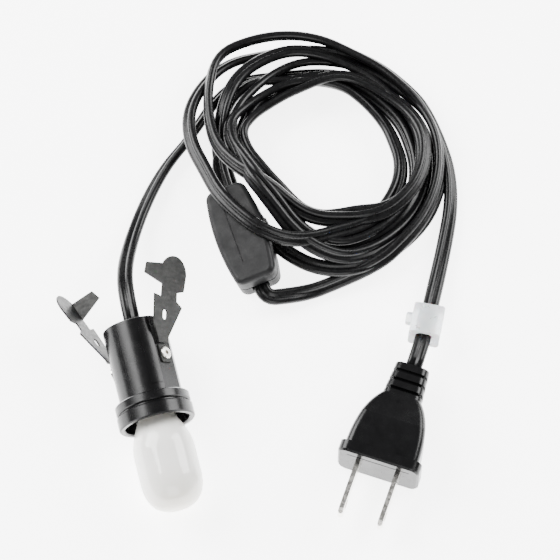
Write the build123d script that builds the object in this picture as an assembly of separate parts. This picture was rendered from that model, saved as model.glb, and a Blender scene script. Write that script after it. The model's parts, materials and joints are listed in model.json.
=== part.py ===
from build123d import *
import math
import os

# Clip-in candelabra lampholder with its bulb, in-line switch, tag, two-pin plug and twin cord.
# Millimetres, +Z up. The lampholder lies on its side with its bulb towards -Y. The origin is on
# the surface it lies on, under the middle of the lampholder, its clips and its bulb.

os.makedirs("parts", exist_ok=True)

# ---- Fits -------------------------------------------------------------------------------------
THREAD_GAP = 0.25        # bulb cap ridges to screw shell, each way
FLEX_GAP = 0.45          # clip arm to its foot and to the body
TIP_GAP = 0.1            # bulb tip to centre contact
PIN_GAP = 0.05           # switch wheel bore to its axle
NECK_GAP = 0.1           # glass neck to bulb cap
SHELL_GAP = 0.3          # screw shell to the body
RIVET_GAP = 0.25         # contact rivet heads to the screw shell's side
RIVET_LAND = 0.2         # contact rivets to the hole in the screw shell's floor
FOLD_GAP = 1.2           # centre contact's fold to that hole
WHEEL_GAP = 0.4          # switch wheel to its housing
CORD_GAP = 0.2           # cord hole to cord, each way
COIL_GAP = 0.6           # coiled cord to the switch

# ---- Lampholder body (local +Z is the axis, from the rear end to the bulb) --------------------
BODY_R = 9.9
BODY_LEN = 24.5
FACET_R = 9.25           # distance from the axis to the two flats that carry the clips
CHAMBER_R = 8.2
CHAMBER_DEPTH = 9.0
REAR_TIER_R = 11.8
REAR_TIER_T = 3.0
TIER_GROOVE_R = 11.1
TIER_GROOVE_T = 0.6
FRONT_RING_R = 12.0
FRONT_RING_T = 4.4
MOUTH_R = 10.2
MOUTH_DEPTH = 6.4
REAR_CAP_T = 2.0
REAR_CAP_INSET = 0.8
RIM_EASE = 0.4           # eased outer edges of the body and its flange
MOULD_LINE_H = 0.12
MOULD_LINE_W = 0.35
MOULD_LINE_ANGLE = 127.0
PANEL_H = 0.22           # raised panel beside the right clip
PANEL_W = 3.6
PANEL_LEN = 19.0
PANEL_FROM = 3.0         # from the rear end
PANEL_ANGLE = 75.0
TILT = 5.0               # the rear end is higher than the bulb end by this angle, in degrees

# ---- Contacts ---------------------------------------------------------------------------------
INSULATOR_T = 1.4
SHELL_T = 0.4
SHELL_CREST_R = 6.25
SHELL_LEN = 15.5
THREAD_PITCH = 2.54
THREAD_DEPTH = 0.45
CONTACT_W = 3.0
CONTACT_T = 0.4
CONTACT_RISE = 2.2
CONTACT_TIP_X = 1.9
RIVET_R = 0.8
RIVET_TAIL_R = 1.3
RIVET_TAIL_T = 0.5
RIVET_HEAD_R = 1.2
RIVET_HEAD_T = 0.4
LEAD_R = 0.57
LEAD_STRAIGHT = 1.3      # straight end of each core

# ---- Spring clips -----------------------------------------------------------------------------
RIGHT = 42.0             # round the axis, from +X towards up
LEFT = 200.0
CLIP_T = 0.5
CLIP_SPLAY = 20.0
CLIP_RIVET_S = 12.5      # from the rear end
CLIP_BEND = 3.0          # from the rivet to the bend
CLIP_FOOT_W = 4.6
CLIP_FOOT_END = 3.0
CLIP_RIVET_R = 1.15
CLIP_RIVET_HEAD_R = 1.95
CLIP_RIVET_HEAD_T = 0.7
CLIP_FOLD_X = -1.4       # fold line of the hook, from the arm's middle
CLIP_RIVET_BORE_R = 0.7
CLIP_RIVET_REACH = 1.65  # into the body
HOOK_REACH = 8.4
HOOK_BEND = {RIGHT: 0.0, LEFT: 75.0}      # the left hook is bent in towards the axis
CLIP_TWIST = {RIGHT: 0.0, LEFT: -8.0}     # about the arm's own length

# ---- Bulb -------------------------------------------------------------------------------------
BULB_R = 9.75
BULB_EXPOSED = 28.0
BULB_SHOULDER = 9.5      # from the front ring to the full width
BULB_DOME = 10.6
GLASS_T = 0.7
NECK_LEN = 4.5
CAP_T = 0.3
CAP_LEN = 12.3
CAP_NOSE = 1.9           # from the tip contact to the cap's end
CAP_NOSE_IN = 1.6        # the cap's end is this much narrower
CAP_SKIRT = 7.5          # from the cap's end to the glass inside it
CAP_TIP_R = 1.9
CAP_TIP_T = 0.6
CAP_PIN_R = 0.6
BEAD_T = 0.9
STEM_LEN = 12.0
STEM_R = 1.1
WIRE_R = 0.25
FILAMENT_R = 0.3
FILAMENT_HALF = 4.6
FILAMENT_RISE = 3.4
FILAMENT_AT = 34.3       # from the cap's end

# ---- In-line switch (local X across, Y along the cord, Z up) ----------------------------------
SWITCH_LEN = 33.5
SWITCH_W = 16.5
SWITCH_END_W = 12.5
SWITCH_H = 12.0
SWITCH_BASE_WALL = 4.6   # solid rim round the cord's tray
SWITCH_COVER_WALL = 4.0
SWITCH_ROOF = 1.7
SWITCH_CORNER_R = 3.0
SWITCH_TOP_EASE = 1.6
SWITCH_FOOT_EASE = 1.0
PARTING_EASE = 0.3
SWITCH_PANEL = (4.6, 20.0, 0.4)
SWITCH_TURN = 4.7        # about Z
SWITCH_ROLL = -12.0      # right edge lifted
SWITCH_AT = (41.9, 45.8)
WHEEL_R = 6.6
WHEEL_T = 3.4
WHEEL_X = 2.9
WHEEL_Z = 0.9
WHEEL_RIDGES = 24
WHEEL_RIDGE_R = 0.45
AXLE_R = 0.9
AXLE_FOOT = 0.2
BOSS_R = 2.0
ROTOR = (5.2, 2.2, 0.4)
STRIP_X = 1.2
STRIP_W = 2.2
STRIP_T = 0.4
STRIP_FROM = 3.2
STRIP_TO = 11.0
SPIKE = (1.2, 0.5)
SCREW_AT = [(-4.6, 11.8), (-4.6, -11.8)]
SCREW_R = 1.0
SCREW_TOP = 4.0
SCREW_HEAD_R = 1.8
SCREW_HEAD_T = 1.1
SCREW_SINK = 0.3
SCREW_SLOT = (0.5, 0.8)
CORD_FLOOR = -3.0        # underside of the cord, from the parting face

# ---- Cord -------------------------------------------------------------------------------------
CORD_W = 5.2             # across both cores
CORD_H = 2.7
CORD_TUBE_R = 1.95       # round stand-in with the flat cord's own section area
EXIT_RUN = 11.0          # first run out of the lampholder and out of the plug
COIL_H = 9.0
COIL_HUMP_H = 21.0

# ---- Plug (local Y runs from the cord end to the blades) --------------------------------------
PLUG_AT = (82.4, -10.8, 8.45)
PLUG_TURN = 32.8         # from -Y towards -X
COLLAR_LEN = 11.0
COLLAR_W = (10.8, 12.6)
COLLAR_H = (8.2, 9.6)
COLLAR_CORNER_R = 2.5
COLLAR_GROOVES = 3
GROOVE_W = 1.1
GROOVE_DEPTH = 0.9
PLUG_LEN = 35.0
PLUG_W = 23.6
PLUG_H = 14.4
PLUG_FLARE = 12.5        # from the collar to the full width
PLUG_RISE = 9.0          # from the collar to the full height
PLUG_EDGE_R = 2.2
RIM_W = 26.2
RIM_H = 16.8
RIM_T = 3.6
RIM_CORNER_R = 3.0
RIM_FRONT_EASE = 0.6
FRONT_SLOT = (20.0, 0.8, 0.5)
FRONT_SLOT_DROP = 3.4    # below the rim's top
BLADE_GAP = 12.7
BLADE_W = 6.35
BLADE_T = 1.5
BLADE_OUT = 17.8
BLADE_IN = 9.0
BLADE_HOLE_R = 1.6
BLADE_HOLE_FROM_TIP = 4.0
BLADE_TIP_EASE = 1.5
BLADE_SIDE_EASE = 0.4
CARRIER = (19.6, 4.0, 10.0)
CRIMP_R = 1.7
CRIMP_LEN = 5.0
CORE_R = 1.1
CORE_STRAIGHT = 8.0
CORE_BEND_R = 3.0

# ---- Tag on the plug lead ---------------------------------------------------------------------
TAG_LEN = 12.0
TAG_W = 9.8
TAG_H = 6.4
TAG_CORNER_R = 1.2
TAG_SLOT_W = 6.4
TAG_SLOT_H = 4.8
TAG_LUG = (2.0, 1.6, 4.2)
TAG_LUG_AT = 0.4         # share of the tag's length
TAG_RUN = (5, 6)         # the two points of the plug lead's route that it sits between

# Routes of the two leads, chosen by hand. Each starts or ends where its fitting is.
SOCKET_ROUTE = [
    (2.6, 42.5, 11.6), (6.6, 52.8, 6.0), (12.0, 62.7, 2.9), (18.2, 71.5, 2.0),
    (25.3, 79.3, 2.1), (33.5, 85.5, 3.0), (42.0, 90.5, 4.5),
]
PLUG_ROUTE = [
    (106.8, 60.5, 4.5), (108.3, 51.2, 4.0), (107.4, 41.0, 3.2), (103.4, 30.2, 2.3),
    (98.3, 19.4, 2.6), (93.2, 8.8, 4.6),
]

# Outer and inner outline of the coil, round its middle
COIL_OUTER = [
    (70, 112), (90, 102), (106, 87), (113, 65), (109, 43), (93, 30), (72, 23.5), (54, 23),
    (39, 36), (33, 60), (31, 84), (38, 102), (52, 111),
]
COIL_INNER = [
    (72, 93), (86, 92), (94, 79), (96, 62), (89, 50), (77, 47), (63, 55), (53, 67), (51, 81), (59, 90),
]

BODY_TOTAL = BODY_LEN + REAR_TIER_T + TIER_GROOVE_T + FRONT_RING_T
SHELL_START = CHAMBER_DEPTH
SHELL_BORE_R = SHELL_CREST_R + THREAD_DEPTH + SHELL_GAP
RIVET_AT = SHELL_CREST_R - SHELL_T - RIVET_HEAD_R - RIVET_GAP
SHELL_FLOOR_HOLE_R = RIVET_AT - RIVET_R - RIVET_LAND
CONTACT_FOLD_X = SHELL_FLOOR_HOLE_R - FOLD_GAP
CONTACT_TOP = SHELL_START + CONTACT_RISE
CAP_TIP = CONTACT_TOP + TIP_GAP
CAP_START = CAP_TIP + CAP_NOSE
CAP_R = SHELL_CREST_R + THREAD_DEPTH - SHELL_T - THREAD_GAP - TIP_GAP
NECK_R = CAP_R - THREAD_DEPTH - CAP_T - NECK_GAP
GLASS_START = CAP_START + CAP_SKIRT
BULB_END = BODY_TOTAL + BULB_EXPOSED
BEND_S = CLIP_RIVET_S - CLIP_BEND
MID_PLATE = FACET_R + FLEX_GAP + CLIP_T / 2

parts = {}


def disc(radius, low, high):
    """A cylinder on Z between two heights."""
    base = Pos(0, 0, low)
    return base * Cylinder(radius, high - low, align=(Align.CENTER, Align.CENTER, Align.MIN))


def ring(outer, inner, low, high):
    """A plain ring on Z between two heights."""
    return disc(outer, low, high) - disc(inner, low - 1, high + 1)


def block(size_x, size_y, low, high):
    """A box on Z between two heights."""
    base = Pos(0, 0, low)
    return base * Box(size_x, size_y, high - low, align=(Align.CENTER, Align.CENTER, Align.MIN))


def turned(points):
    """A solid of revolution about Z from (radius, height) points."""
    face = make_face(Polyline(*[(r, 0, z) for r, z in points], close=True))
    return revolve(face, Axis.Z)


def rounded_block(size_x, size_y, low, high, radius):
    """A box on Z with its four upright edges rounded."""
    sketch = RectangleRounded(size_x, size_y, radius)
    return Pos(0, 0, low) * extrude(sketch, high - low)


def ridges(crest, root, low, high):
    """Rolled-thread outline as (radius, height) points: one ridge for each whole pitch from SHELL_START."""
    first = math.ceil((low - SHELL_START) / THREAD_PITCH)
    last = math.floor((high - SHELL_START) / THREAD_PITCH)
    points = []
    for index in range(first, last):
        base = SHELL_START + index * THREAD_PITCH
        for share, radius in ((0.05, root), (0.35, crest), (0.65, crest), (0.95, root)):
            points.append((radius, base + share * THREAD_PITCH))
    return [(root, low)] + points + [(root, high)]


# ---- Lampholder -------------------------------------------------------------------------------
def flats_cut():
    """The two flats under the clips, each as a cutter."""
    depth = BODY_R - FACET_R + 1
    cut = Pos(FACET_R + depth / 2, 0, BODY_LEN / 2) * Box(depth, 2 * BODY_R, BODY_LEN)
    return [Rot(0, 0, turn) * cut for turn in (RIGHT, LEFT)]


def clip_rivet_axis(turn):
    """Location on a clip's rivet, with Z pointing out of the body."""
    return Rot(0, 0, turn) * Pos(FACET_R, 0, CLIP_RIVET_S) * Rot(0, 90, 0)


def strip_on_body(angle, width, height, low, high):
    """A raised strip along the body."""
    middle = Pos(BODY_R, 0, (low + high) / 2)
    strip = Rot(0, 0, angle) * middle * Box(BODY_R / 2, width, high - low)
    return strip & disc(BODY_R + height, low, high)


def make_body():
    body = disc(BODY_R, 0, BODY_LEN)
    body = fillet(body.edges().group_by(Axis.Z)[0], RIM_EASE)
    body -= flats_cut()
    body += strip_on_body(PANEL_ANGLE, PANEL_W, PANEL_H, PANEL_FROM, PANEL_FROM + PANEL_LEN)
    for angle in (MOULD_LINE_ANGLE, MOULD_LINE_ANGLE + 180):
        body += strip_on_body(angle, MOULD_LINE_W, MOULD_LINE_H, 2 * RIM_EASE, BODY_LEN)
    tier = disc(REAR_TIER_R, BODY_LEN, BODY_LEN + REAR_TIER_T)
    body += chamfer(tier.edges(), RIM_EASE)
    top = BODY_LEN + REAR_TIER_T
    body += disc(TIER_GROOVE_R, top, top + TIER_GROOVE_T)
    body -= disc(CHAMBER_R, -1, CHAMBER_DEPTH)
    body -= disc(SHELL_BORE_R, 0, BODY_TOTAL)
    body -= disc(MOUTH_R, BODY_TOTAL - MOUTH_DEPTH, BODY_TOTAL)
    for turn in (RIGHT, LEFT):
        body -= clip_rivet_axis(turn) * Cylinder(CLIP_RIVET_R, 2 * BODY_R - 2 * SHELL_BORE_R)
    return body


def make_front_ring():
    low = BODY_TOTAL - FRONT_RING_T
    front = ring(FRONT_RING_R, MOUTH_R, low, BODY_TOTAL)
    front = chamfer(front.edges().group_by(Axis.Z)[-1], RIM_EASE)
    outer_low = front.edges().group_by(Axis.Z)[0].sort_by(SortBy.LENGTH)[-1]
    return chamfer(outer_low, RIM_EASE)


def make_rear_cap():
    cap = disc(CHAMBER_R, REAR_CAP_INSET, REAR_CAP_INSET + REAR_CAP_T)
    return cap - disc(CORD_W / 2 + CORD_GAP, 0, BODY_LEN)


def make_insulator():
    plate = disc(CHAMBER_R, CHAMBER_DEPTH - INSULATOR_T, CHAMBER_DEPTH)
    plate -= disc(RIVET_R, 0, BODY_LEN)
    for side in (-1, 1):
        plate -= Pos(side * RIVET_AT, 0, 0) * disc(RIVET_R, 0, BODY_LEN)
    return plate


def make_screw_shell():
    top = SHELL_START + SHELL_LEN
    floor = SHELL_START + SHELL_T
    crest = SHELL_CREST_R
    outer = ridges(crest + THREAD_DEPTH, crest, SHELL_START + 1.5, top)
    inner = [(r - SHELL_T, z) for r, z in outer]
    points = [(SHELL_FLOOR_HOLE_R, SHELL_START), (crest, SHELL_START)] + outer + inner[::-1]
    points += [(crest - SHELL_T, floor), (SHELL_FLOOR_HOLE_R, floor)]
    shell = turned(points)
    for side in (-1, 1):
        shell -= Pos(side * RIVET_AT, 0, 0) * disc(RIVET_R, 0, SHELL_START + 1)
    return shell


def make_centre_contact():
    low = SHELL_START + CONTACT_T / 2
    high = CONTACT_TOP - CONTACT_T / 2
    fold = -CONTACT_FOLD_X
    line = Polyline((CONTACT_FOLD_X, low), (fold, low), (fold, low + 2 * CONTACT_T),
                    (CONTACT_TIP_X / 2, high), (CONTACT_TIP_X, high))
    contact = extrude(Plane.XZ * trace(line, CONTACT_T), CONTACT_W / 2, both=True)
    return contact - disc(RIVET_R, 0, SHELL_START + CONTACT_T)


def contact_rivet(at_x):
    """A rivet through the insulator, with a head on each side."""
    low = CHAMBER_DEPTH - INSULATOR_T
    top = SHELL_START + SHELL_T
    rivet = disc(RIVET_R, low, top) + disc(RIVET_TAIL_R, low - RIVET_TAIL_T, low)
    rivet += disc(RIVET_HEAD_R, top, top + RIVET_HEAD_T)
    return Pos(at_x, 0, 0) * rivet


def make_lead(side, end_x):
    """One core, from the cord's end to the back of its rivet."""
    start_x = side * CORD_W / 4
    low = REAR_CAP_INSET + REAR_CAP_T
    high = CHAMBER_DEPTH - INSULATOR_T - RIVET_TAIL_T
    path = Polyline((start_x, 0, low), (start_x, 0, low + LEAD_STRAIGHT),
                    (end_x, 0, high - LEAD_STRAIGHT), (end_x, 0, high))
    return sweep(Plane(origin=path @ 0) * Circle(LEAD_R), path=path, transition=Transition.ROUND)


# ---- Spring clips -----------------------------------------------------------------------------
def arm_outline():
    """Flat pattern of a clip arm: X across, Y along the arm from the bend."""
    near = (2.1, FLEX_GAP)
    shoulder = Polyline(near, (2.0, 2.0), (8.0, 11.6), (5.4, 13.4), (5.4, 16.0), (8.6, 16.6), (9.6, 21.6))
    head = ThreePointArc((9.6, 21.6), (5.6, 27.2), (-1.2, 25.2))
    barb = Polyline((-1.2, 25.2), (CLIP_FOLD_X, 18.4), (-1.7, 14.6), (-5.0, 15.4), (-4.9, 6.4),
                    (-2.3, FLEX_GAP), near)
    return make_face(shoulder + head + barb)


def hook_outline():
    """Flat pattern of the hook, from its fold line at X = 0 towards -X."""
    return make_face(Polyline((0.6, 25.0), (0.6, 18.6), (0, 18.5), (-HOOK_REACH, 21.4),
                              (-HOOK_REACH + 0.8, 24.7), close=True))


def clip_frame(turn, distance, along):
    """Location on a clip: Y runs rearwards, X round the body, Z outwards."""
    return Rot(0, 0, turn) * Pos(distance, 0, along) * Rot(0, 90, 0) * Rot(0, 0, -90)


def make_arm(turn):
    plate = extrude(arm_outline(), CLIP_T / 2, both=True)
    plate -= Pos(0, 9.0, 0) * extrude(SlotOverall(3.2, 2.0, rotation=90), CLIP_T, both=True)
    hook = extrude(hook_outline(), CLIP_T / 2, both=True)
    plate += Pos(CLIP_FOLD_X, 0, 0) * Rot(0, -HOOK_BEND[turn], 0) * hook
    lean = Rot(CLIP_SPLAY, 0, 0) * Rot(0, CLIP_TWIST[turn], 0)
    return clip_frame(turn, MID_PLATE, BEND_S) * lean * plate


def make_foot(turn):
    length = CLIP_BEND + CLIP_FOOT_END
    foot = rounded_block(CLIP_FOOT_W, length, 0, CLIP_T, 0.7)
    foot = Pos(0, length / 2 - CLIP_FOOT_END, 0) * foot
    foot -= disc(CLIP_RIVET_R, -1, 1)
    return clip_frame(turn, FACET_R, CLIP_RIVET_S) * foot


def make_clip_rivet(turn):
    top = CLIP_T + CLIP_RIVET_HEAD_T
    rivet = disc(CLIP_RIVET_R, -CLIP_RIVET_REACH, CLIP_T) + disc(CLIP_RIVET_HEAD_R, CLIP_T, top)
    rivet = fillet(rivet.edges().group_by(Axis.Z)[-1], CLIP_RIVET_HEAD_T / 2)
    rivet -= disc(CLIP_RIVET_BORE_R, -CLIP_RIVET_REACH / 2, top)
    return clip_rivet_axis(turn) * rivet


# ---- Bulb -------------------------------------------------------------------------------------
def glass_outline(inset):
    """Half outline of the bulb glass, closed along the axis."""
    radius = BULB_R - inset
    neck = NECK_R - inset
    neck_top = GLASS_START + NECK_LEN
    shoulder = BODY_TOTAL + BULB_SHOULDER
    end = BULB_END - inset
    dome = end - BULB_DOME + inset
    up = (0, 0, 1)
    neck_line = Line((0, 0, GLASS_START), (neck, 0, GLASS_START))
    neck_side = Line((neck, 0, GLASS_START), (neck, 0, neck_top))
    flare = Spline((neck, 0, neck_top), (radius, 0, shoulder), tangents=(up, up))
    side = Line((radius, 0, shoulder), (radius, 0, dome))
    cap = Spline((radius, 0, dome), (0, 0, end), tangents=(up, (-1, 0, 0)))
    axis = Line((0, 0, end), (0, 0, GLASS_START))
    return make_face(neck_line + neck_side + flare + side + cap + axis)


def make_glass():
    return revolve(glass_outline(0), Axis.Z) - revolve(glass_outline(GLASS_T), Axis.Z)


def make_bulb_cap():
    top = CAP_START + CAP_LEN
    outer = ridges(CAP_R, CAP_R - THREAD_DEPTH, CAP_START + 2 * CAP_T, top)
    inner = [(r - CAP_T, z) for r, z in outer]
    nose = CAP_R - CAP_NOSE_IN
    return turned([(nose, CAP_START)] + outer + inner[::-1] + [(nose - CAP_T, CAP_START)])


def make_cap_insulator():
    rim = CAP_R - CAP_NOSE_IN - CAP_T
    low = CAP_TIP + CAP_TIP_T
    high = CAP_START + BEAD_T
    return turned([(CAP_TIP_R, low), (rim, CAP_START), (rim, high), (CAP_PIN_R, high), (CAP_PIN_R, low)])


def make_tip_contact():
    shoulder = CAP_TIP + CAP_TIP_T
    return disc(CAP_TIP_R, CAP_TIP, shoulder) + disc(CAP_PIN_R, shoulder, CAP_START + 1.5 * BEAD_T)


def make_stem():
    low = GLASS_START + GLASS_T + TIP_GAP
    foot = NECK_R - GLASS_T
    return turned([(0, low), (foot, low), (foot, low + 1), (1.5 * STEM_R, low + STEM_LEN / 3),
                   (STEM_R, low + STEM_LEN), (0, low + STEM_LEN)])


def support_wire(side):
    bottom = GLASS_START + GLASS_T + TIP_GAP + STEM_LEN
    top = CAP_START + FILAMENT_AT - WIRE_R - FILAMENT_R
    path = Line((side * STEM_R / 2, 0, bottom), (side * FILAMENT_HALF, 0, top))
    return sweep(Plane(origin=path @ 0, z_dir=path % 0) * Circle(WIRE_R), path=path)


def make_filament():
    top = CAP_START + FILAMENT_AT
    ends = [(-FILAMENT_HALF, 0, top), (0, 0, top + FILAMENT_RISE), (FILAMENT_HALF, 0, top)]
    path = ThreePointArc(*ends)
    return sweep(Plane(origin=path @ 0, z_dir=path % 0) * Circle(FILAMENT_R), path=path)


# ---- In-line switch ---------------------------------------------------------------------------
def switch_outline(inset):
    half_len = SWITCH_LEN / 2 - inset
    half_end = SWITCH_END_W / 2 - inset
    half_mid = SWITCH_W / 2 - inset
    right = ThreePointArc((half_end, -half_len), (half_mid, 0), (half_end, half_len))
    left = ThreePointArc((-half_end, half_len), (-half_mid, 0), (-half_end, -half_len))
    near = Line((-half_end, -half_len), (half_end, -half_len))
    far = Line((half_end, half_len), (-half_end, half_len))
    return make_face(right + far + left + near)


def switch_block(inset, low, high):
    return Pos(0, 0, low) * extrude(switch_outline(inset), high - low)


def cord_channel():
    width = CORD_W + 2 * CORD_GAP
    return Pos(0, 0, CORD_FLOOR + CORD_H / 2) * Box(width, SWITCH_LEN + 2, CORD_H + 2 * CORD_GAP)


def make_switch_base():
    half = SWITCH_H / 2
    base = switch_block(0, -half, 0)
    base = fillet(base.edges().filter_by(Axis.Z), SWITCH_CORNER_R)
    base = chamfer(base.faces().sort_by(Axis.Z)[0].edges(), SWITCH_FOOT_EASE)
    base = chamfer(base.faces().sort_by(Axis.Z)[-1].edges(), PARTING_EASE)
    base -= switch_block(SWITCH_BASE_WALL, CORD_FLOOR - CORD_GAP, 1)
    base -= cord_channel()
    for x, y in SCREW_AT:
        base -= Pos(x, y, 0) * disc(SCREW_R, -half - 1, 1)
        base -= Pos(x, y, 0) * disc(SCREW_HEAD_R, -half - 1, -half + SCREW_SINK + SCREW_HEAD_T)
    return base


def make_switch_cover():
    half = SWITCH_H / 2
    wheel_top = WHEEL_Z + WHEEL_T + WHEEL_GAP
    panel_x, panel_y, panel_depth = SWITCH_PANEL
    cover = switch_block(0, 0, half)
    cover = fillet(cover.edges().filter_by(Axis.Z), SWITCH_CORNER_R)
    cover = fillet(cover.faces().sort_by(Axis.Z)[-1].edges(), SWITCH_TOP_EASE)
    cover = chamfer(cover.faces().sort_by(Axis.Z)[0].edges(), PARTING_EASE)
    cover -= Pos(0, 0, half) * Box(panel_x, panel_y, 2 * panel_depth)
    cover -= switch_block(SWITCH_COVER_WALL, -1, half - SWITCH_ROOF)
    cover -= Pos(WHEEL_X, 0, 0) * disc(WHEEL_R + WHEEL_GAP, -1, wheel_top)
    cover += Pos(WHEEL_X, 0, 0) * disc(BOSS_R, wheel_top - WHEEL_GAP / 2, half - 1)
    cover -= Pos(WHEEL_X, 0, 0) * disc(AXLE_R, 0, half - 1)
    for x, y in SCREW_AT:
        cover -= Pos(x, y, 0) * disc(SCREW_R, -1, SCREW_TOP)
    return cover


def make_switch_wheel():
    inner = WHEEL_R - WHEEL_RIDGE_R
    wheel = disc(inner + 0.1, WHEEL_Z, WHEEL_Z + WHEEL_T)
    ridge = Pos(inner, 0, 0) * disc(WHEEL_RIDGE_R, WHEEL_Z, WHEEL_Z + WHEEL_T)
    wheel += [Rot(0, 0, index * 360 / WHEEL_RIDGES) * ridge for index in range(WHEEL_RIDGES)]
    wheel -= disc(AXLE_R + PIN_GAP, 0, SWITCH_H)
    return Pos(WHEEL_X, 0, 0) * wheel


def make_switch_rotor():
    size_x, size_y, thick = ROTOR
    plate = block(size_x, size_y, WHEEL_Z - thick, WHEEL_Z) - disc(AXLE_R + PIN_GAP, 0, SWITCH_H)
    return Pos(WHEEL_X, 0, 0) * plate


def make_switch_axle():
    return Pos(WHEEL_X, 0, 0) * disc(AXLE_R, AXLE_FOOT, SWITCH_H / 2 - 1)


def make_switch_contact(side):
    """A strip beside the rotor, with a point that pierces the cord's near core."""
    low = WHEEL_Z - STRIP_T
    middle = (STRIP_FROM + STRIP_TO) / 2
    strip = Pos(STRIP_X, middle, low + STRIP_T / 2) * Box(STRIP_W, STRIP_TO - STRIP_FROM, STRIP_T)
    spike_low = CORD_FLOOR + CORD_H
    spike = Pos(STRIP_X, STRIP_TO - SPIKE[1], (spike_low + low) / 2) * Box(*SPIKE, low - spike_low)
    both = strip + spike
    return both if side > 0 else mirror(both, about=Plane.XZ)


def make_switch_screws():
    head_low = -SWITCH_H / 2 + SCREW_SINK
    screws = []
    for x, y in SCREW_AT:
        screw = disc(SCREW_R, head_low + SCREW_HEAD_T, SCREW_TOP)
        screw += disc(SCREW_HEAD_R, head_low, head_low + SCREW_HEAD_T)
        screw -= Pos(0, 0, head_low) * Box(SCREW_HEAD_R * 3, *SCREW_SLOT)
        screws.append(Pos(x, y, 0) * screw)
    return screws[0] + screws[1]


def make_switch_cord():
    section = SlotOverall(CORD_W, CORD_H)
    cord = extrude(Plane.XZ * section, SWITCH_LEN / 2, both=True)
    return Pos(0, 0, CORD_FLOOR + CORD_H / 2) * cord


# ---- Plug -------------------------------------------------------------------------------------
def plug_plan():
    """The plug seen from above, without its collar and rim."""
    half_start = COLLAR_W[1] / 2
    half = PLUG_W / 2
    start = COLLAR_LEN
    end = PLUG_LEN - RIM_T
    bulge = (half - 0.6, start + PLUG_FLARE)
    right = Spline((half_start, start), bulge, (half, end), tangents=((0.8, 1), (0, 1)))
    left = mirror(right, about=Plane.YZ)
    near = Line((-half_start, start), (half_start, start))
    far = Line((-half, end), (half, end))
    return make_face(near + right + far + left)


def plug_side():
    """The plug seen from its side: X is height here, Y runs to the blades."""
    half_start = COLLAR_H[1] / 2
    half = PLUG_H / 2
    start = COLLAR_LEN
    end = PLUG_LEN - RIM_T
    points = [(-half_start, start), (half_start, start), (half, start + PLUG_RISE), (half, end),
              (-half, end), (-half, start + PLUG_RISE)]
    return make_face(Polyline(*points, close=True))


def make_plug_collar():
    front = Plane(origin=(0, COLLAR_LEN, 0), x_dir=(1, 0, 0), z_dir=(0, 1, 0))
    back = Plane(origin=(0, 0, 0), x_dir=(1, 0, 0), z_dir=(0, 1, 0))
    sections = [back * RectangleRounded(COLLAR_W[0], COLLAR_H[0], COLLAR_CORNER_R),
                front * RectangleRounded(COLLAR_W[1], COLLAR_H[1], COLLAR_CORNER_R)]
    collar = loft(sections, ruled=True)
    pitch = COLLAR_LEN / (COLLAR_GROOVES + 0.5)
    wide = Box(COLLAR_W[1] + 4, GROOVE_W, COLLAR_H[1] + 4)
    core = Box(COLLAR_W[0] - 2 * GROOVE_DEPTH, 2 * GROOVE_W, COLLAR_H[0] - 2 * GROOVE_DEPTH)
    for index in range(COLLAR_GROOVES):
        collar -= Pos(0, (index + 0.9) * pitch, 0) * (wide - core)
    return collar


def blade_location(side):
    return Pos(side * BLADE_GAP / 2, PLUG_LEN, 0)


def make_blade(side):
    length = BLADE_OUT + BLADE_IN
    blade = Pos(0, length / 2 - BLADE_IN, 0) * Box(BLADE_T, length, BLADE_W)
    tip = blade.faces().sort_by(Axis.Y)[-1]
    blade = chamfer(tip.edges().filter_by(Axis.X), BLADE_TIP_EASE)
    tip = blade.faces().sort_by(Axis.Y)[-1]
    blade = chamfer(tip.edges().filter_by(Axis.Z), BLADE_SIDE_EASE)
    hole = Pos(0, BLADE_OUT - BLADE_HOLE_FROM_TIP, 0) * Rot(0, 90, 0) * Cylinder(BLADE_HOLE_R, BLADE_T * 2)
    return blade_location(side) * (blade - hole)


def make_crimp(side):
    """The barrel that grips a core behind its blade."""
    outer = Cylinder(CRIMP_R, CRIMP_LEN) - Cylinder(CORE_R, CRIMP_LEN + 1)
    return blade_location(side) * Pos(0, -BLADE_IN - CRIMP_LEN / 2, 0) * Rot(90, 0, 0) * outer


def make_carrier():
    x, y, z = CARRIER
    carrier = Pos(0, PLUG_LEN - BLADE_IN + y, 0) * Box(x, y, z)
    for side in (-1, 1):
        carrier -= make_blade(side)
    return carrier


def make_core(side):
    """One core inside the plug, from the cord's end to its crimp."""
    start = (side * CORD_W / 4, 0.01, 0)
    end = (side * BLADE_GAP / 2, PLUG_LEN - BLADE_IN - 0.01, 0)
    bend_out = (start[0], CORE_STRAIGHT, 0)
    bend_back = (end[0], end[1] - CRIMP_LEN - 2, 0)
    path = FilletPolyline(start, bend_out, bend_back, end, radius=CORE_BEND_R)
    return sweep(Plane(origin=start, z_dir=(0, 1, 0)) * Circle(CORE_R), path=path)


def make_plug_body(inner):
    body = extrude(plug_plan(), PLUG_H, both=True)
    profile = Plane(origin=(0, 0, 0), x_dir=(0, 0, 1), z_dir=(-1, 0, 0)) * plug_side()
    body &= extrude(profile, PLUG_W, both=True)
    long_edges = [edge for edge in body.edges() if abs((edge % 0.5).Y) > 0.6]
    body = fillet(long_edges, PLUG_EDGE_R)
    rim = rounded_block(RIM_W, RIM_H, 0, RIM_T, RIM_CORNER_R)
    rim = chamfer(rim.edges().group_by(Axis.Z)[-1], RIM_FRONT_EASE)
    body += Pos(0, PLUG_LEN - RIM_T, 0) * Rot(-90, 0, 0) * rim
    body += make_plug_collar()
    body -= Pos(0, PLUG_LEN, RIM_H / 2 - FRONT_SLOT_DROP) * Box(*FRONT_SLOT)
    for piece in inner:
        body -= piece
    return body


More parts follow.
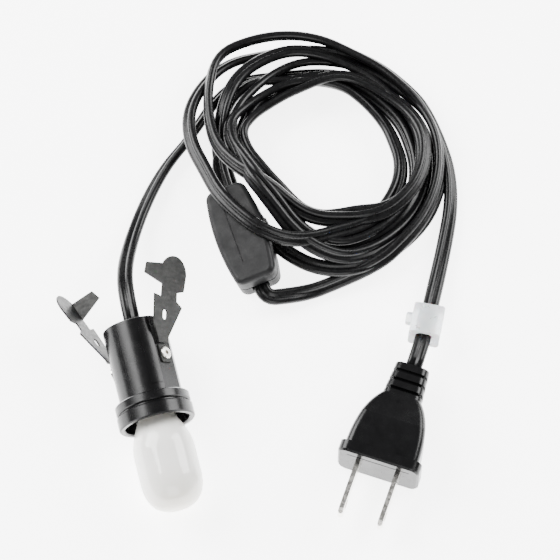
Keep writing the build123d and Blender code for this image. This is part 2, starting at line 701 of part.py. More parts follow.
# ---- Tag --------------------------------------------------------------------------------------
def make_tag():
    sleeve = rounded_block(TAG_W, TAG_H, 0, TAG_LEN, TAG_CORNER_R)
    sleeve -= Pos(0, 0, -1) * extrude(SlotOverall(TAG_SLOT_W, TAG_SLOT_H), TAG_LEN + 2)
    lug = Pos(TAG_W / 2 + 0.45 * TAG_LUG[0], 0, TAG_LEN * TAG_LUG_AT) * Box(*TAG_LUG)
    lug_end = lug.edges().filter_by(Axis.Y).group_by(Axis.X)[-1]
    return sleeve + fillet(lug_end, 0.45 * TAG_LUG[0])


# ---- Cord -------------------------------------------------------------------------------------
def route_radii(points):
    """Bend radius at each inner point: 0.45 of the shorter run, over the tangent of half the turn."""
    radii = []
    for before, here, after in zip(points, points[1:], points[2:]):
        run_in = Vector(*here) - Vector(*before)
        run_out = Vector(*after) - Vector(*here)
        half_turn = math.radians(run_in.get_angle(run_out)) / 2
        radii.append(0.45 * min(run_in.length, run_out.length) / math.tan(half_turn))
    return radii


def cord_tube(name, points):
    """A round tube of straight runs joined by tangent arcs."""
    radii = route_radii(points)
    path = FilletPolyline(*points, radius=radii)
    start = Vector(*points[0])
    away = (Vector(*points[1]) - start).normalized()
    tube = sweep(Plane(origin=start, z_dir=away) * Circle(CORD_TUBE_R), path=path)
    expected = math.pi * CORD_TUBE_R ** 2 * path.length
    print(name, "length", round(path.length, 1), "volume over section x length",
          round(tube.volume / expected, 4), "radii", [round(radius, 1) for radius in radii])
    return tube


def closed_outline(points):
    """A smooth closed face through points."""
    return make_face(Spline(*points, periodic=True))


def make_coil(clearance, near_switch):
    """The coil's outer shape: a low ring with a hump where its turns cross the switch."""
    loop = closed_outline(COIL_OUTER) - closed_outline(COIL_INNER)
    low_ring = extrude(loop, COIL_H)
    hump = extrude(loop, COIL_HUMP_H) & near_switch
    coil = low_ring + hump
    return coil - clearance


# ---- Placing ----------------------------------------------------------------------------------
def holder_plane(rear):
    """Local +Z is the lampholder's axis towards the bulb, which points along -Y and a little down."""
    tilt = math.radians(TILT)
    return Plane(origin=rear, x_dir=(1, 0, 0), z_dir=(0, -math.cos(tilt), -math.sin(tilt)))


def switch_location():
    rise = SWITCH_W / 2 * math.sin(math.radians(abs(SWITCH_ROLL)))
    height = rise + SWITCH_H / 2 * math.cos(math.radians(SWITCH_ROLL))
    return Pos(SWITCH_AT[0], SWITCH_AT[1], height) * Rot(0, 0, SWITCH_TURN) * Rot(0, SWITCH_ROLL, 0)


def plug_location():
    return Pos(*PLUG_AT) * Rot(0, 0, 180 - PLUG_TURN)


holder_parts = {
    "socket_body": make_body(),
    "socket_front_ring": make_front_ring(),
    "socket_rear_cap": make_rear_cap(),
    "socket_insulator": make_insulator(),
    "socket_screw_shell": make_screw_shell(),
    "socket_centre_contact": make_centre_contact(),
    "socket_contact_rivets": contact_rivet(RIVET_AT) + contact_rivet(-RIVET_AT),
    "socket_shell_lead": make_lead(1, RIVET_AT),
    "socket_centre_lead": make_lead(-1, -RIVET_AT),
    "right_clip_foot": make_foot(RIGHT),
    "left_clip_foot": make_foot(LEFT),
    "right_clip_arm": make_arm(RIGHT),
    "left_clip_arm": make_arm(LEFT),
    "clip_rivets": make_clip_rivet(RIGHT) + make_clip_rivet(LEFT),
    "bulb_glass": make_glass(),
    "bulb_cap": make_bulb_cap(),
    "bulb_cap_insulator": make_cap_insulator(),
    "bulb_tip_contact": make_tip_contact(),
    "bulb_stem": make_stem(),
    "bulb_support_wires": support_wire(1) + support_wire(-1),
    "bulb_filament": make_filament(),
}

trial = Compound(children=[holder_plane((0, 0, 0)).location * part for part in holder_parts.values()])
box = trial.bounding_box()
rear_end = (-box.center().X, -box.center().Y, -box.min.Z)
holder_at = holder_plane(rear_end).location
for name, part in holder_parts.items():
    parts[name] = holder_at * part

switch_parts = {
    "switch_base": make_switch_base(),
    "switch_cover": make_switch_cover(),
    "switch_wheel": make_switch_wheel(),
    "switch_rotor": make_switch_rotor(),
    "switch_axle": make_switch_axle(),
    "switch_contact_in": make_switch_contact(1),
    "switch_contact_out": make_switch_contact(-1),
    "switch_screws": make_switch_screws(),
    "cord_switch_run": make_switch_cord(),
}
for name, part in switch_parts.items():
    parts[name] = switch_location() * part

plug_inner = {
    "plug_blade_left": make_blade(-1),
    "plug_blade_right": make_blade(1),
    "plug_blade_carrier": make_carrier(),
    "plug_crimps": make_crimp(-1) + make_crimp(1),
    "plug_cores": make_core(-1) + make_core(1),
}
for name, part in plug_inner.items():
    parts[name] = plug_location() * part
parts["plug_body"] = plug_location() * make_plug_body(plug_inner.values())

cord_exit = (holder_at * Pos(0, 0, REAR_CAP_INSET)).position
exit_next = (holder_at * Pos(0, 0, REAR_CAP_INSET - EXIT_RUN)).position
socket_points = [tuple(cord_exit), tuple(exit_next)] + SOCKET_ROUTE
parts["cord_socket_lead"] = cord_tube("cord_socket_lead", socket_points)

plug_end = Vector(*PLUG_AT)
plug_turn = math.radians(PLUG_TURN)
plug_way = Vector(math.sin(plug_turn), math.cos(plug_turn), 0)
plug_points = PLUG_ROUTE + [tuple(plug_end + plug_way * EXIT_RUN), tuple(plug_end)]
parts["cord_plug_lead"] = cord_tube("cord_plug_lead", plug_points)

tag_start, tag_end = (Vector(*plug_points[index]) for index in TAG_RUN)
tag_way = (tag_end - tag_start).normalized()
tag_across = tag_way.cross(Vector(0, 0, 1))
tag_plane = Plane(origin=(tag_start + tag_end) * 0.5, x_dir=tag_across, z_dir=tag_way)
parts["cord_tag"] = tag_plane.location * Pos(0, 0, -TAG_LEN / 2) * make_tag()

switch_box = [size + 2 * COIL_GAP for size in (SWITCH_W, SWITCH_LEN, SWITCH_H)]
switch_space = switch_location() * Box(*switch_box)
wheel_space = switch_location() * Pos(WHEEL_X, 0, 0) * disc(WHEEL_R + 2 * COIL_GAP, 0, SWITCH_H / 2)
around = Pos(SWITCH_AT[0] + 4, SWITCH_AT[1] + 6, 0) * block(34, 34, -1, COIL_HUMP_H + 1)
parts["cord_coil"] = make_coil(switch_space + wheel_space, around)

for name, part in parts.items():
    export_step(part, f"parts/{name}.step")
print("rear end at", [round(value, 3) for value in rear_end])
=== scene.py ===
import json
import math
import bmesh
import bpy
import numpy as np
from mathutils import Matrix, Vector


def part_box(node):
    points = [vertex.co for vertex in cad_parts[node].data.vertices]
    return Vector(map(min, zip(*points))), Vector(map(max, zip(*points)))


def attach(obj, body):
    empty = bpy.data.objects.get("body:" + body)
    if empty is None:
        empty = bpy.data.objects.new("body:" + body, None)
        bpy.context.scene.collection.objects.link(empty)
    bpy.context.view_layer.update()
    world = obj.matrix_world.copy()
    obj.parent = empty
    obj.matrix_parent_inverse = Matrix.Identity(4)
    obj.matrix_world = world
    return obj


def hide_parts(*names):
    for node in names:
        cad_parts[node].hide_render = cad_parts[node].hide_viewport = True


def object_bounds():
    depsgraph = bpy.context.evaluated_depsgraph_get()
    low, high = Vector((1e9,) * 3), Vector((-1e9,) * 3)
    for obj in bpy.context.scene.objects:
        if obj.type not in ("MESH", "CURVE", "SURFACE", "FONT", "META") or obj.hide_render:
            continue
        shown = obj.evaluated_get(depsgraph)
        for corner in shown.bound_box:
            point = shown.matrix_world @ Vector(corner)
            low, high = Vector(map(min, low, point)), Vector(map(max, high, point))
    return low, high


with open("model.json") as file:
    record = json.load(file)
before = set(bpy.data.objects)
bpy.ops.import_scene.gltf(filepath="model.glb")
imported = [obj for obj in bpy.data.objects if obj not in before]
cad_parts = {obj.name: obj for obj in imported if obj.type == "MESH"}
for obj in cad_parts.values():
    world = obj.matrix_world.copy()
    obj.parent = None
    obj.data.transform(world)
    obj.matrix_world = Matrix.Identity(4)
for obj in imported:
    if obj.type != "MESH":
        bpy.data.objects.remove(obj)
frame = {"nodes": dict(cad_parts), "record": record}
CAD_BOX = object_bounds()
NODES = frame["nodes"]
MM = 0.001

# ---- Camera ------------------------------------------------------------------------------------
VIEW_AZIMUTH = 14.0      # the camera looks along +Y turned this far towards +X
VIEW_ELEVATION = 67.0
VIEW_TARGET = Vector((50.5, 32.2, 0.0)) * MM
VIEW_WIDTH = 177.8 * MM
LENS = 240.0
SENSOR = 36.0


def look_direction():
    flat = math.cos(math.radians(VIEW_ELEVATION))
    turn = math.radians(VIEW_AZIMUTH)
    down = math.sin(math.radians(VIEW_ELEVATION))
    return Vector((flat * math.sin(turn), flat * math.cos(turn), -down))


def make_camera():
    camera = bpy.data.objects.new("camera", bpy.data.cameras.new("camera"))
    bpy.context.scene.collection.objects.link(camera)
    camera.data.lens = LENS
    camera.data.sensor_width = SENSOR
    camera.data.clip_start = 0.01
    camera.data.clip_end = 20.0
    distance = VIEW_WIDTH * LENS / SENSOR
    camera.location = VIEW_TARGET - look_direction() * distance
    camera.rotation_euler = look_direction().to_track_quat("-Z", "Y").to_euler()
    bpy.context.scene.camera = camera


# ---- Materials -----------------------------------------------------------------------------------
def new_material(name, color, roughness, **sockets):
    """A Principled material with its constant values set on the shader itself."""
    material = bpy.data.materials.new(name)
    material.use_nodes = True
    shader = material.node_tree.nodes["Principled BSDF"]
    shader.inputs["Base Color"].default_value = (*color, 1.0)
    shader.inputs["Roughness"].default_value = roughness
    for socket, value in sockets.items():
        shader.inputs[socket.replace("_", " ")].default_value = value
    return material


def add_node(material, kind, **inputs):
    node = material.node_tree.nodes.new(kind)
    for socket, value in inputs.items():
        node.inputs[socket.replace("_", " ")].default_value = value
    return node


def link(material, source, target):
    material.node_tree.links.new(source, target)


def shader_input(material, socket):
    return material.node_tree.nodes["Principled BSDF"].inputs[socket]


EVEN = (1.0, 1.0, 1.0)
NOISE_RANGE = (0.3, 0.7)     # where nearly all values of a noise texture lie


def place(material, scale=EVEN):
    """Object coordinates in metres, scaled."""
    coordinates = add_node(material, "ShaderNodeTexCoord")
    mapping = add_node(material, "ShaderNodeMapping", Scale=scale)
    link(material, coordinates.outputs["Object"], mapping.inputs["Vector"])
    return mapping.outputs["Vector"]


def noise_at(material, scale, detail=4.0, roughness=0.55, squeeze=EVEN):
    """Noise with `scale` cells to the metre, times `squeeze` along each axis."""
    vector = place(material, squeeze)
    node = add_node(material, "ShaderNodeTexNoise", Scale=scale, Detail=detail, Roughness=roughness)
    link(material, vector, node.inputs["Vector"])
    return node.outputs["Fac"]


def ramp(material, value, stops):
    node = add_node(material, "ShaderNodeValToRGB")
    elements = node.color_ramp.elements
    while len(elements) < len(stops):
        elements.new(0.5)
    for element, (where, color) in zip(elements, stops):
        element.position = where
        element.color = (*color, 1.0)
    link(material, value, node.inputs["Fac"])
    return node.outputs["Color"]


def vary_color(material, value, stops):
    link(material, ramp(material, value, stops), shader_input(material, "Base Color"))


def vary_roughness(material, value, low, high):
    spread = add_node(material, "ShaderNodeMapRange", From_Min=NOISE_RANGE[0], From_Max=NOISE_RANGE[1],
                      To_Min=low, To_Max=high)
    link(material, value, spread.inputs["Value"])
    link(material, spread.outputs["Result"], shader_input(material, "Roughness"))


def add_bump(material, value, distance):
    """Relief `distance` metres high, on top of any relief that the material has."""
    normal = shader_input(material, "Normal")
    bump = add_node(material, "ShaderNodeBump", Distance=distance)
    before = normal.links
    if before:
        link(material, before[0].from_socket, bump.inputs["Normal"])
    link(material, value, bump.inputs["Height"])
    link(material, bump.outputs["Normal"], normal)


def gloss_black_plastic():
    """Moulded gloss plastic: faint flow mottling, an uneven sheen, slow waves and a fine grain."""
    m = new_material("gloss_black", (0.003, 0.003, 0.0032), 0.24, Specular_IOR_Level=0.26)
    vary_color(m, noise_at(m, 260.0, 3.0, squeeze=(1.0, 0.35, 1.0)), [
        (0.3, (0.0018, 0.0018, 0.002)), (0.75, (0.0035, 0.0035, 0.0038))])
    vary_roughness(m, noise_at(m, 300.0, 4.0), 0.22, 0.29)
    add_bump(m, noise_at(m, 160.0, 2.0), 0.000012)
    add_bump(m, noise_at(m, 5200.0, 2.0), 0.000002)
    return m


def matte_black_plastic():
    """Spark-textured switch housing."""
    m = new_material("matte_black", (0.006, 0.006, 0.0063), 0.5, Specular_IOR_Level=0.22)
    vary_color(m, noise_at(m, 700.0, 4.0), [
        (0.3, (0.0035, 0.0035, 0.0037)), (0.72, (0.0065, 0.0065, 0.0069))])
    vary_roughness(m, noise_at(m, 300.0, 3.0), 0.44, 0.62)
    add_bump(m, noise_at(m, 3400.0, 3.0), 0.00003)
    add_bump(m, noise_at(m, 1300.0, 2.0), 0.00002)
    return m


def clip_steel():
    """Blackened spring steel with rolling marks and small bright rubs."""
    m = new_material("clip_steel", (0.045, 0.045, 0.046), 0.42, Metallic=0.75)
    vary_color(m, noise_at(m, 420.0, 6.0, 0.7, squeeze=(0.5, 2.2, 1.0)), [
        (0.35, (0.012, 0.012, 0.0115)), (0.62, (0.024, 0.024, 0.023)), (0.8, (0.06, 0.06, 0.058))])
    vary_roughness(m, noise_at(m, 800.0, 5.0), 0.34, 0.56)
    add_bump(m, noise_at(m, 3800.0, 3.0, squeeze=(1.0, 0.08, 1.0)), 0.00003)
    add_bump(m, noise_at(m, 600.0, 4.0), 0.00002)
    return m


def plated_metal(name, color, dark, roughness):
    """Plated metal: soft cloudiness, an uneven sheen and drawn lines."""
    m = new_material(name, color, roughness, Metallic=1.0)
    vary_color(m, noise_at(m, 500.0, 4.0), [(0.3, dark), (0.65, color)])
    vary_roughness(m, noise_at(m, 700.0, 5.0), roughness * 0.7, roughness * 1.5)
    add_bump(m, noise_at(m, 2600.0, 3.0, squeeze=(0.15, 1.0, 1.0)), 0.00002)
    return m


def opal_glass():
    """Glossy opal glass, darker and warmer towards its neck and tip: painted shade at its ends."""
    m = new_material("opal_glass", (0.93, 0.925, 0.90), 0.12, Specular_IOR_Level=0.5,
                     Subsurface_Weight=0.15, Subsurface_Scale=0.002, Subsurface_Radius=(1.0, 0.95, 0.85),
                     Coat_Weight=0.3, Coat_Roughness=0.06)
    low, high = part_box("bulb_glass")
    axis = add_node(m, "ShaderNodeSeparateXYZ")
    link(m, place(m), axis.inputs["Vector"])
    along = add_node(m, "ShaderNodeMapRange", From_Min=low[1], From_Max=high[1], To_Min=0.0, To_Max=1.0)
    link(m, axis.outputs["Y"], along.inputs["Value"])
    # painted shade: the base colour darkens and warms towards both ends of the bulb, its neck and its tip
    vary_color(m, along.outputs["Result"], [
        (0.0, (0.70, 0.665, 0.58)), (0.1, (0.78, 0.76, 0.70)), (0.3, (0.83, 0.82, 0.78)),
        (0.6, (0.82, 0.81, 0.77)), (0.78, (0.72, 0.69, 0.61))])
    vary_roughness(m, noise_at(m, 350.0, 3.0), 0.09, 0.17)
    add_bump(m, noise_at(m, 150.0, 2.0), 0.00005)
    return m


def tag_plastic():
    """Milky translucent sleeve."""
    m = new_material("tag_plastic", (0.80, 0.83, 0.85), 0.3, Transmission_Weight=0.55, IOR=1.45,
                     Subsurface_Weight=0.2, Subsurface_Scale=0.003)
    vary_color(m, noise_at(m, 300.0, 3.0), [
        (0.3, (0.78, 0.815, 0.84)), (0.7, (0.90, 0.915, 0.925))])
    vary_roughness(m, noise_at(m, 500.0, 4.0), 0.25, 0.42)
    add_bump(m, noise_at(m, 420.0, 3.0), 0.00006)
    return m


def clear_glass():
    """The stem inside the bulb, with faint unevenness."""
    m = new_material("clear_glass", (0.92, 0.95, 0.94), 0.05, Transmission_Weight=0.9, IOR=1.5)
    vary_roughness(m, noise_at(m, 400.0, 2.0), 0.03, 0.09)
    add_bump(m, noise_at(m, 200.0, 2.0), 0.00003)
    return m


def pressed_fibre():
    """Rough brown board."""
    m = new_material("pressed_fibre", (0.30, 0.17, 0.09), 0.75)
    vary_color(m, noise_at(m, 1500.0, 6.0), [(0.3, (0.22, 0.12, 0.06)), (0.7, (0.36, 0.21, 0.12))])
    add_bump(m, noise_at(m, 2500.0, 5.0), 0.00008)
    return m


def vitrite():
    """The black glass in the bulb cap."""
    m = new_material("vitrite", (0.012, 0.012, 0.016), 0.15)
    vary_roughness(m, noise_at(m, 900.0, 3.0), 0.08, 0.3)
    add_bump(m, noise_at(m, 1200.0, 3.0), 0.00005)
    return m


def cord_vinyl():
    """Extruded vinyl: an uneven dull sheen, a fine grain and a slow waviness."""
    m = new_material("cord_pvc", (0.003, 0.003, 0.0032), 0.3, Specular_IOR_Level=0.24)
    vary_color(m, noise_at(m, 500.0, 3.0), [
        (0.3, (0.002, 0.002, 0.0022)), (0.7, (0.004, 0.004, 0.0043))])
    vary_roughness(m, noise_at(m, 900.0, 4.0), 0.24, 0.36)
    add_bump(m, noise_at(m, 2400.0, 3.0), 0.000004)
    add_bump(m, noise_at(m, 350.0, 2.0), 0.00002)
    return m


MATERIALS = {
    "gloss_black": gloss_black_plastic(),
    "matte_black": matte_black_plastic(),
    "clip_steel": clip_steel(),
    "brass": plated_metal("brass", (0.80, 0.66, 0.40), (0.58, 0.44, 0.22), 0.22),
    "nickel": plated_metal("nickel", (0.90, 0.88, 0.83), (0.74, 0.72, 0.68), 0.24),
    "opal_glass": opal_glass(),
    "clear_glass": clear_glass(),
    "steel_wire": plated_metal("steel_wire", (0.55, 0.54, 0.53), (0.36, 0.35, 0.34), 0.3),
    "insulator": pressed_fibre(),
    "vitrite": vitrite(),
    "cord_pvc": cord_vinyl(),
    "core": cord_vinyl(),
    "tag_plastic": tag_plastic(),
}


def dress_nodes():
    """Every CAD node takes the material of its slot."""
    for part in frame["record"]["subparts"]:
        node = NODES[part["node"]]
        node.data.materials.clear()
        node.data.materials.append(MATERIALS[part["material_slot"]])


# ---- Cord: its section, its leads as listed points and its coil by a loop (millimetres, degrees) ---
CORD_WIDE = 5.2
CORD_THIN = 2.7
LOBE_R = CORD_THIN / 2
LOBE_OFF = (CORD_WIDE - CORD_THIN) / 2       # from the cord's middle to a lobe's middle
FULL_TURN = 360
# From the lampholder's rear to the coil
SOCKET_ROUTE = [
    (0.884, 20.956, 14.682), (0.884, 31.914, 15.641), (2.6, 42.5, 11.6), (6.6, 52.8, 6.2),
    (12.0, 62.7, 3.4), (18.2, 71.5, 2.7), (25.3, 79.3, 2.7), (33.5, 85.5, 3.0),
]
# From the coil to the plug
PLUG_ROUTE = [
    (112.4, 62.5, 3.4), (111.8, 52.3, 2.9), (109.2, 42.0, 2.7), (104.2, 30.8, 2.6),
    (98.8, 19.8, 3.0), (93.2, 8.8, 4.6), (88.359, -1.554, 8.45), (82.4, -10.8, 8.45),
]
# Through the switch, from its lower end to its upper end
SWITCH_ROUTE = [
    (62.0, 25.0, 2.8), (56.5, 24.6, 3.2), (50.6, 24.5, 4.6), (44.0, 24.8, 5.97),
    (43.25, 33.5, 5.97), (41.27, 57.6, 5.97), (40.38, 68.5, 5.9), (40.9, 74.5, 4.6), (42.6, 79.6, 3.4),
]
SWITCH_TURN_AT = 5       # the turn that runs through the switch
SWITCH_FROM = 178.0      # the part of that turn that SWITCH_ROUTE stands for
SWITCH_TO = 300.0
UNDER_TURN_AT = 1        # the turn that lies flat under the switch's lifted edge, over the same part

COIL_MIDDLE = (73.0, 68.0)
TOP = 90                 # the angle where a turn is counted from; it then runs clockwise
# The coil's turns lie in a band between two outlines: an inner and an outer radius at some angles
BAND = {
    0: (24.5, 39.3), 30: (25.0, 36.4), 60: (27.0, 37.0), 90: (25.6, 42.4), 120: (25.8, 46.6),
    150: (27.4, 45.4), 180: (22.0, 38.5), 205: (20.2, 36.5), 225: (20.6, 37.0), 245: (21.4, 39.5),
    270: (22.4, 41.6), 300: (26.0, 39.2), 330: (26.4, 39.0),
}
# Where each turn lies in the band, from 0 inside to 1 outside, at these angles on its way round
TURN_ANGLES = (90, 0, -90, -145, -210, -240)
TURNS = [
    (0.37, 0.74, 0.80, 0.36, 0.16, 0.30),
    (0.49, 0.83, 0.94, 0.66, 0.28, 0.42),
    (0.28, 0.29, 0.53, 0.26, 0.10, 0.22),
    (0.20, 0.40, 0.62, 0.16, 0.22, 0.10),
    (0.08, 0.00, 0.43, 0.95, 1.00, 0.96),
    (0.86, 0.92, 1.04, 1.00, 0.30, 0.56),
    (0.80, 0.53, 0.02, 0.00, 0.00, 0.00),
    (0.01, 0.62, 0.14, 0.10, 0.52, 1.03),
    (1.02, 1.00),
]
POINTS_PER_TURN = 24
COIL_START = -42.0       # before the first turn's top
COIL_END = 84.0          # past the last turn's top
COIL_START_SHARE = 0.72
ROW_SPACING = 0.97       # share of the full lift over a turn underneath; the rest sinks in


def smooth_step(t):
    return t * t * (3 - 2 * t)


def keyed(keys, x):
    """A smooth value through (place, value) pairs."""
    if x <= keys[0][0]:
        return keys[0][1]
    for (x0, v0), (x1, v1) in zip(keys, keys[1:]):
        if x <= x1:
            return v0 + (v1 - v0) * smooth_step((x - x0) / (x1 - x0))
    return keys[-1][1]


def band_at(angle, side):
    """The band's inner (side 0) or outer (side 1) radius at an angle."""
    pairs = [(key, ends[side]) for key, ends in sorted(BAND.items())]
    pairs.append((FULL_TURN, BAND[0][side]))
    return keyed(pairs, angle % FULL_TURN)


def share_keys():
    """(way along the coil, share of the band) for every entry of TURNS."""
    keys = [(COIL_START, COIL_START_SHARE)]
    for index, row in enumerate(TURNS):
        for angle, share in zip(TURN_ANGLES, row):
            keys.append((index * FULL_TURN + TOP - angle, share))
    return keys


def coil_point(keys, along):
    """Where the coil's cord is in plan, a number of degrees along its way."""
    angle = TOP - along
    inner, outer = band_at(angle, 0), band_at(angle, 1)
    radius = inner + keyed(keys, along) * (outer - inner)
    turn = math.radians(angle)
    return COIL_MIDDLE[0] + radius * math.cos(turn), COIL_MIDDLE[1] + radius * math.sin(turn)


# How far the cord's wide side leans from upright, in degrees: in the coil, then point by point
COIL_LEAN = 34.0
LEAN_WAVES = [(15.0, 0.71, 0.4), (9.0, 1.83, 1.9)]      # size, waves per turn, phase
SOCKET_LEANS = (90.0, 88.0, 74.0, 60.0, 50.0, 42.0, 34.0, 28.0)
SWITCH_LEANS = (40.0, 55.0, 70.0, 78.0, 78.0, 78.0, 78.0, 60.0, 40.0)
PLUG_LEANS = (30.0, 40.0, 52.0, 66.0, 80.0, 90.0, 90.0, 90.0)
FLAT = 86.0              # under the switch


def coil_lean(along):
    """The lean of a turn of the coil at a place on its way round."""
    turns = along / FULL_TURN
    sway = sum(size * math.sin(2 * math.pi * waves * turns + phase) for size, waves, phase in LEAN_WAVES)
    return COIL_LEAN + sway


def half_height(lean):
    return LOBE_R + LOBE_OFF * abs(math.cos(math.radians(lean)))


def half_width(lean):
    return LOBE_R + LOBE_OFF * abs(math.sin(math.radians(lean)))


# The switch as the cord finds it: its half sizes are a little more than its own
SWITCH_CENTRE = (41.9, 45.8)
SWITCH_TURN = math.radians(4.7)
SWITCH_HALF = (9.4, 18.6)
SWITCH_TOP = 13.6        # height of its upper face at its centre
SWITCH_SLOPE = 0.21      # rise of that face for each millimetre across


def switch_top(x, y):
    """Height of the switch's upper face under a point, or 0 beside it."""
    dx, dy = x - SWITCH_CENTRE[0], y - SWITCH_CENTRE[1]
    across = dx * math.cos(SWITCH_TURN) + dy * math.sin(SWITCH_TURN)
    along = dy * math.cos(SWITCH_TURN) - dx * math.sin(SWITCH_TURN)
    if abs(across) > SWITCH_HALF[0] or abs(along) > SWITCH_HALF[1]:
        return 0.0
    return SWITCH_TOP + SWITCH_SLOPE * across


def coil_stretch(keys, low, high):
    """Control points of the coil between two places on its way: x, y, lean and if it is under the switch."""
    step = FULL_TURN / POINTS_PER_TURN
    count = int((high - low) / step) + 1
    rows = []
    for along in (low + index * step for index in range(count)):
        under = SWITCH_FROM < along - UNDER_TURN_AT * FULL_TURN < SWITCH_TO
        rows.append((*coil_point(keys, along), FLAT if under else coil_lean(along), under))
    return rows


# Columns of the table of control points, after x and y. A held point stays where it is.
Z, LEAN, HELD, UNDER = 2, 3, 4, 5


def held_rows(route, leans):
    return [(*point, lean, True, False) for point, lean in zip(route, leans)]


def coil_rows(keys, low, high):
    return [(x, y, 0.0, lean, False, under) for x, y, lean, under in coil_stretch(keys, low, high)]


def cord_points():
    """The cord's control points in metres, and its lean at each."""
    keys = share_keys()
    switch_turn = SWITCH_TURN_AT * FULL_TURN
    last_turn = (len(TURNS) - 1) * FULL_TURN
    table = np.array([
        *held_rows(SOCKET_ROUTE, SOCKET_LEANS),
        *coil_rows(keys, COIL_START, switch_turn + SWITCH_FROM),
        *held_rows(SWITCH_ROUTE, SWITCH_LEANS),
        *coil_rows(keys, switch_turn + SWITCH_TO, last_turn + COIL_END),
        *held_rows(PLUG_ROUTE, PLUG_LEANS),
    ], float)
    lay_on_each_other(table)
    return [Vector(row[:Z + 1]) * MM for row in table], table[:, LEAN]


FINE = 3                 # places looked at between two control points
SLIDES = (0.0, 0.7, -0.7, 1.4, -1.4, 2.1, -2.1)      # radial offsets tried, in millimetres
SLIDE_COST = 0.9         # height that a turn would rather climb than slide one millimetre
CHANGE_COST = 0.5        # the same, for a millimetre's difference from the slide before
CLIMB = 2.1              # steepest change in height from one control point to the next
JUST_LAID = 2            # control points next to a turn's start that it doesn't rest on
LOOK_BACK = POINTS_PER_TURN // 3     # control points before a turn that it can still lift
PRESSED_FROM = 4.2       # above this height the pile is pressed together
PRESSED = 0.36


def pressed(height):
    return height if height < PRESSED_FROM else PRESSED_FROM + (height - PRESSED_FROM) * PRESSED


def blend(before, here, after):
    return 0.25 * before + 0.5 * here + 0.25 * after


def ease_down(height, held, first, end):
    """Raise points beside a high one, so that the cord climbs and comes down in a long slope."""
    for order in (range(first + 1, end), range(end - 2, first, -1)):
        for i in order:
            if not held[i]:
                height[i] = max(height[i], height[i - order.step] - CLIMB)


def resting_height(x, y, wide, tall, under, laid):
    """The lowest centre height at which the cord clears the floor, the switch and what is laid."""
    low = tall
    over = switch_top(x, y)
    if over and not under:
        low = over + tall
    if len(laid):
        gap = np.hypot(laid[:, 0] - x, laid[:, 1] - y) / (laid[:, 3] + wide)
        close = gap < 1.0
        if close.any():
            lift = np.sqrt(1 - gap[close] ** 2) * (laid[close, 4] + tall) * ROW_SPACING
            low = max(low, float((laid[close, 2] + lift).max()))
    return low


def lay_on_each_other(table):
    """Each turn of the coil slides a little, to rest low on the floor, the switch or earlier turns."""
    count = len(table)
    held = table[:, HELD] > 0
    tall = np.array([half_height(lean) for lean in table[:, LEAN]])
    wide = np.array([half_width(lean) for lean in table[:, LEAN]])
    need = np.where(held, table[:, Z], tall)
    laid = np.zeros((count * FINE, 5))       # x, y, z, half width and half height
    plan = table[:, :2].copy()
    outward = plan - np.array(COIL_MIDDLE)
    outward /= np.linalg.norm(outward, axis=1)[:, None]
    slide = np.zeros(count)
    for start in range(0, count, POINTS_PER_TURN):
        end = min(start + POINTS_PER_TURN, count)
        old = laid[:max(0, (start - JUST_LAID) * FINE)]
        old = old[old[:, 4] > 0]
        for i in range(start, end):
            if held[i]:
                continue
            best = None
            for offset in SLIDES:
                x, y = plan[i] + outward[i] * offset
                low = resting_height(x, y, wide[i], tall[i], table[i, UNDER], old)
                cost = low + SLIDE_COST * abs(offset) + CHANGE_COST * abs(offset - slide[i - 1])
                if best is None or cost < best[0]:
                    best = (cost, offset)
            slide[i] = best[1]
        soft = slide.copy()
        for i in range(max(1, start), end - 1):
            if not held[i]:
                soft[i] = blend(slide[i - 1], slide[i], slide[i + 1])
        slide[start:end] = soft[start:end]
        for i in range(start, end):
            if not held[i]:
                x, y = plan[i] + outward[i] * slide[i]
                table[i, :2] = x, y
                need[i] = resting_height(x, y, wide[i], tall[i], table[i, UNDER], old)
        back = max(0, start - LOOK_BACK)
        ease_down(need, held, back, end)
        table[back:end, Z] = need[back:end]
        for i in range(max(1, back), end):
            for part in range(FINE):
                t = part / FINE
                spot = table[i - 1, :Z + 1] * (1 - t) + table[i, :Z + 1] * t
                laid[i * FINE + part] = (*spot, wide[i], tall[i])
    over = np.array([switch_top(x, y) for x, y in table[:, :2]])
    bare = np.where((over > 0) & (table[:, UNDER] == 0), over + tall, tall)
    bare[held] = table[held, Z]
    ease_down(bare, held, 0, count)
    level = np.maximum(bare, [pressed(height) for height in need])
    for i in range(1, count - 1):
        if not held[i]:
            table[i, Z] = max(bare[i], blend(level[i - 1], level[i], level[i + 1]))


def route_spline(name, points):
    """The NURBS spline of a route, order 3, through its two ends."""
    curve = bpy.data.curves.new(name, "CURVE")
    curve.dimensions = "3D"
    curve.resolution_u = 5
    spline = curve.splines.new("NURBS")
    spline.points.add(len(points) - 1)
    for control, point in zip(spline.points, points):
        control.co = (*point, 1.0)
    spline.order_u = 3
    spline.use_endpoint_u = True
    return curve


def read_spline(curve):
    """Points along a curve that has no bevel."""
    holder = bpy.data.objects.new("route", curve)
    bpy.context.scene.collection.objects.link(holder)
    bpy.context.view_layer.update()
    evaluated = holder.evaluated_get(bpy.context.evaluated_depsgraph_get())
    mesh = bpy.data.meshes.new_from_object(evaluated)
    points = [vertex.co.copy() for vertex in mesh.vertices]
    bpy.data.objects.remove(holder)
    bpy.data.meshes.remove(mesh)
    return points


LOBE_POINTS = 11
WAIST = math.radians(28)      # half the part of a lobe's circle that the web takes up


def cord_section():
    """Two lobes side by side with a web between them: (across, up) from the middle, in metres."""
    points = []
    for side in (1, -1):
        for step in range(LOBE_POINTS):
            angle = -math.pi + WAIST + (2 * math.pi - 2 * WAIST) * step / (LOBE_POINTS - 1)
            x = side * (LOBE_OFF + LOBE_R * math.cos(angle))
            z = side * LOBE_R * math.sin(angle)
            points.append((x * MM, z * MM))
    return points


def shares_along(points):
    """For each point its share of the whole length, and that length."""
    steps = [0.0] + [(after - before).length for before, after in zip(points, points[1:])]
    total = np.cumsum(steps)
    return total / total[-1], float(total[-1])


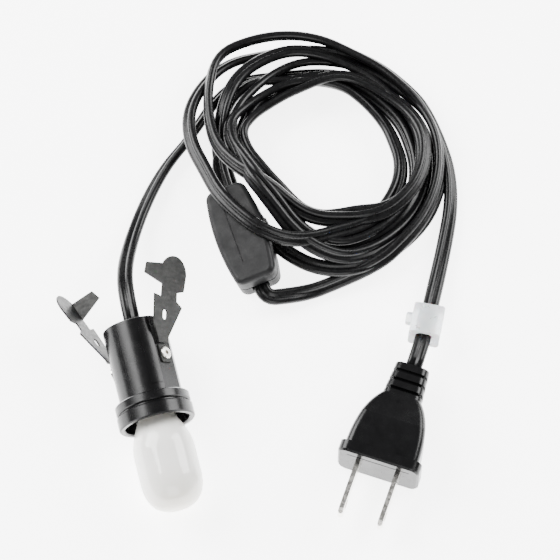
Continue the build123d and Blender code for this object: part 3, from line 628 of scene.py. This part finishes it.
def sweep_cord(name, line, leans):
    """A closed two-lobed tube along a line, with a lean at each of its points."""
    section = cord_section()
    count = len(line)
    mesh = bmesh.new()
    rings = []
    for index, point in enumerate(line):
        ahead = line[min(index + 1, count - 1)] - line[max(index - 1, 0)]
        tangent = ahead.normalized()
        side = tangent.cross(Vector((0, 0, 1))).normalized()
        up = side.cross(tangent).normalized()
        lean = math.radians(leans[index])
        wide = up * math.cos(lean) + side * math.sin(lean)
        thin = tangent.cross(wide).normalized()
        rings.append([mesh.verts.new(point + wide * x + thin * z) for x, z in section])
    size = len(section)
    for first, second in zip(rings, rings[1:]):
        for i in range(size):
            j = (i + 1) % size
            mesh.faces.new((first[i], first[j], second[j], second[i]))
    mesh.faces.new(rings[0][::-1])
    mesh.faces.new(rings[-1])
    bmesh.ops.recalc_face_normals(mesh, faces=mesh.faces)
    return new_object(name, mesh)


def new_object(name, mesh, smooth=True):
    data = bpy.data.meshes.new(name)
    mesh.to_mesh(data)
    mesh.free()
    for polygon in data.polygons:
        polygon.use_smooth = smooth
    piece = bpy.data.objects.new(name, data)
    bpy.context.scene.collection.objects.link(piece)
    return piece


def make_cord():
    points, leans = cord_points()
    line = read_spline(route_spline("cord_route", points))
    shares, length = shares_along(line)
    cord = sweep_cord("flat_cord", line, np.interp(shares, shares_along(points)[0], leans))
    cord.data.materials.append(MATERIALS["cord_pvc"])
    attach(cord, "holder")
    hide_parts("cord_socket_lead", "cord_coil", "cord_plug_lead", "cord_switch_run")


# ---- Stage and lights ----------------------------------------------------------------------------
LIGHTS = [               # name, place in metres, side of the square in metres, watts
    ("key", (-0.5, 0.5, 0.62), 0.7, 26.0),
    ("side", (0.72, 0.25, 0.5), 0.5, 12.0),
    ("front", (-0.1, -0.75, 0.55), 0.7, 8.0),
]
WORLD_STRENGTH = 0.25
PAPER_GLOW = 5.0         # the floor glows, so that it renders nearly white
FLOOR_HALF = 3.0
FLOOR_MIDDLE = (0.05, 0.03)
FLOOR_DROP = 0.0002      # below the lowest point of the object
WHITE = (1.0, 1.0, 1.0, 1.0)


def area_light(name, place_at, target, size, power):
    data = bpy.data.lights.new(name, "AREA")
    data.shape = "SQUARE"
    data.size = size
    data.energy = power
    lamp = bpy.data.objects.new(name, data)
    bpy.context.scene.collection.objects.link(lamp)
    lamp.location = place_at
    lamp.rotation_euler = (Vector(target) - Vector(place_at)).to_track_quat("-Z", "Y").to_euler()


def make_stage():
    mesh = bmesh.new()
    bmesh.ops.create_grid(mesh, x_segments=4, y_segments=4, size=FLOOR_HALF)
    floor = new_object("floor", mesh, smooth=False)
    floor.location = (*FLOOR_MIDDLE, CAD_BOX[0][2] - FLOOR_DROP)
    paper = new_material("paper", (0.93, 0.93, 0.93), 0.9, Emission_Color=WHITE, Emission_Strength=PAPER_GLOW)
    floor.data.materials.append(paper)
    world = bpy.data.worlds.new("studio")
    world.use_nodes = True
    background = world.node_tree.nodes["Background"]
    background.inputs["Color"].default_value = WHITE
    background.inputs["Strength"].default_value = WORLD_STRENGTH
    bpy.context.scene.world = world
    for name, place_at, size, power in LIGHTS:
        area_light(name, place_at, VIEW_TARGET, size, power)


dress_nodes()
make_camera()
make_cord()
make_stage()
